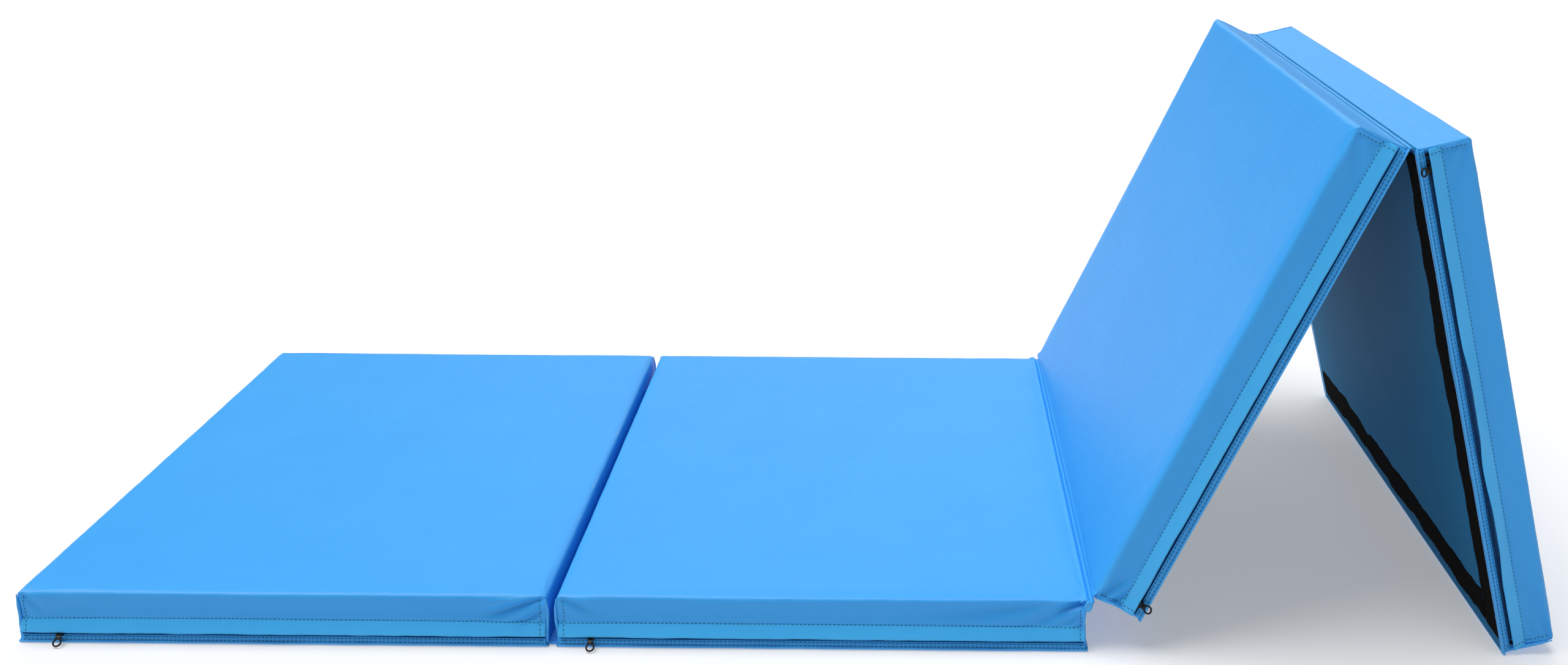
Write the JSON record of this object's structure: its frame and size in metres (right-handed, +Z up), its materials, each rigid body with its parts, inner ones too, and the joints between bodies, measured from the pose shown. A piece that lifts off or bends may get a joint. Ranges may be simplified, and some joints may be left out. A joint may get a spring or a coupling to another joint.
{
  "type": "folding gym mat",
  "caption": "Accordion-fold exercise mat: vinyl-covered foam panels joined by sewn folds, zipped covers, hook strips; stored half folded with a tent.",
  "frame": {"origin": "centre of the underside of panel 2, the second flat panel, on the floor", "axes": "+X along the mat from the flat free end towards the tent, +Y across it away from the zipper side, +Z up"},
  "size_m": [1.3108, 0.6228, 0.4582],
  "materials": {
    "vinyl": "satin",
    "foam": "matte",
    "zipper_tape": "matte",
    "zipper_coil": "satin",
    "zipper_metal": "satin",
    "hook_and_loop": "matte"
  },
  "bodies": {
    "panel_1": {"foam_core_1": "foam", "cover_1": "vinyl", "base_sheet_1": "vinyl", "zip_placket_1": "vinyl", "zip_skirt_1": "vinyl", "zip_tapes_1": "zipper_tape", "zip_coils_1": "zipper_coil", "zip_stops_1": "zipper_metal", "loop_strip_end": "hook_and_loop", "fold_strip_12": "vinyl"},
    "zip_slider_1": {"zip_slider_1": "zipper_metal"},
    "zip_pull_1": {"zip_pull_1": "zipper_metal"},
    "panel_2": {"foam_core_2": "foam", "cover_2": "vinyl", "base_sheet_2": "vinyl", "zip_placket_2": "vinyl", "zip_skirt_2": "vinyl", "zip_tapes_2": "zipper_tape", "zip_coils_2": "zipper_coil", "zip_stops_2": "zipper_metal", "fold_strip_23": "vinyl"},
    "zip_slider_2": {"zip_slider_2": "zipper_metal"},
    "zip_pull_2": {"zip_pull_2": "zipper_metal"},
    "panel_3": {"foam_core_3": "foam", "cover_3": "vinyl", "base_sheet_3": "vinyl", "zip_placket_3": "vinyl", "zip_skirt_3": "vinyl", "zip_tapes_3": "zipper_tape", "zip_coils_3": "zipper_coil", "zip_stops_3": "zipper_metal", "fold_strip_34": "vinyl"},
    "zip_slider_3": {"zip_slider_3": "zipper_metal"},
    "zip_pull_3": {"zip_pull_3": "zipper_metal"},
    "panel_4": {"foam_core_4": "foam", "cover_4": "vinyl", "base_sheet_4": "vinyl", "zip_placket_4": "vinyl", "zip_skirt_4": "vinyl", "zip_tapes_4": "zipper_tape", "zip_coils_4": "zipper_coil", "zip_stops_4": "zipper_metal", "hook_strip_end": "hook_and_loop", "hook_strip_side": "hook_and_loop"},
    "zip_slider_4": {"zip_slider_4": "zipper_metal"},
    "zip_pull_4": {"zip_pull_4": "zipper_metal"}
  },
  "joints": [
    {"name": "fold_12", "type": "hinge", "parent": "panel_2", "child": "panel_1", "pos_m": [-0.23, 0, -0.001], "axis": [0, -1, 0], "range_deg": [0, 180]},
    {"name": "fold_23", "type": "hinge", "parent": "panel_2", "child": "panel_3", "pos_m": [0.2275, 0, 0.0472], "axis": [0, -1, 0], "range_deg": [-65, 115]},
    {"name": "fold_34", "type": "hinge", "parent": "panel_3", "child": "panel_4", "pos_m": [0.46411, 0, 0.44056], "axis": [0, 1, 0], "range_deg": [-140.41, 39.59]},
    {"name": "zip_slide_1", "type": "slide", "parent": "panel_1", "child": "zip_slider_1", "axis": [1, 0, 0], "range_m": [-0.0215, 0.4025]},
    {"name": "pull_turn_1", "type": "hinge", "parent": "zip_slider_1", "child": "zip_pull_1", "pos_m": [-0.6505, -0.309, 0.008], "axis": [-1, 0, 0], "range_deg": [-14, 100]},
    {"name": "zip_slide_2", "type": "slide", "parent": "panel_2", "child": "zip_slider_2", "axis": [1, 0, 0], "range_m": [-0.0155, 0.4085]},
    {"name": "pull_turn_2", "type": "hinge", "parent": "zip_slider_2", "child": "zip_pull_2", "pos_m": [-0.1965, -0.309, 0.008], "axis": [-1, 0, 0], "range_deg": [-14, 100]},
    {"name": "zip_slide_3", "type": "slide", "parent": "panel_3", "child": "zip_slider_3", "axis": [0.4226, 0, 0.9063], "range_m": [-0.0005, 0.4235]},
    {"name": "pull_turn_3", "type": "hinge", "parent": "zip_slider_3", "child": "zip_pull_3", "pos_m": [0.26979, -0.309, 0.04513], "axis": [-0.4226, 0, -0.9063], "range_deg": [0, 114]},
    {"name": "zip_slide_4", "type": "slide", "parent": "panel_4", "child": "zip_slider_4", "axis": [0.2519, 0, -0.9678], "range_m": [-0.0035, 0.4205]},
    {"name": "pull_turn_4", "type": "hinge", "parent": "zip_slider_4", "child": "zip_pull_4", "pos_m": [0.47798, -0.309, 0.42299], "axis": [-0.2519, 0, 0.9678], "range_deg": [0, 114]}
  ]
}
